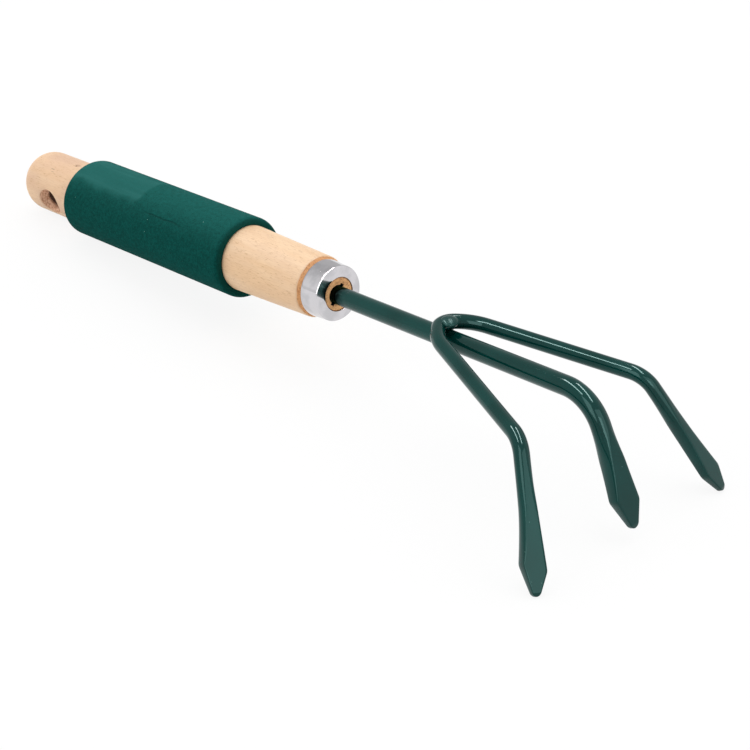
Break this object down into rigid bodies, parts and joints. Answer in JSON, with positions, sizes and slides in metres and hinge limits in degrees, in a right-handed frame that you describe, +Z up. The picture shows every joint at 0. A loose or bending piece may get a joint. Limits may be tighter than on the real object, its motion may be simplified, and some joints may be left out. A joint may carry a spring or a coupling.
{
  "type": "hand cultivator",
  "caption": "Short hand cultivator: turned wooden handle with a foam sleeve and a hanging hole, bright ferrule, and green bent-rod tines forged to flat arrow points.",
  "frame": {"origin": "centre of the footprint, on the table that the tool lies on with its tines pointing down", "axes": "+X from the handle's domed end towards the tines, +Z up from the table, +Y across the tines"},
  "size_m": [0.3968, 0.1062, 0.055],
  "materials": {
    "wood": "pale hardwood under a thin satin varnish, fine flecks along the grain",
    "foam": "closed-cell foam rubber, matte, fine pores",
    "chrome": "bright plated pressed steel",
    "enamel": "glossy dark green enamel on steel rod, thick enough to round the forged edges"
  },
  "bodies": {
    "root": {"wooden_handle": "wood", "foam_grip": "foam", "ferrule": "chrome", "shank_and_centre_tine": "enamel", "outer_tine_fork": "enamel", "crotch_weld": "enamel", "heel_weld": "enamel"}
  },
  "joints": []
}
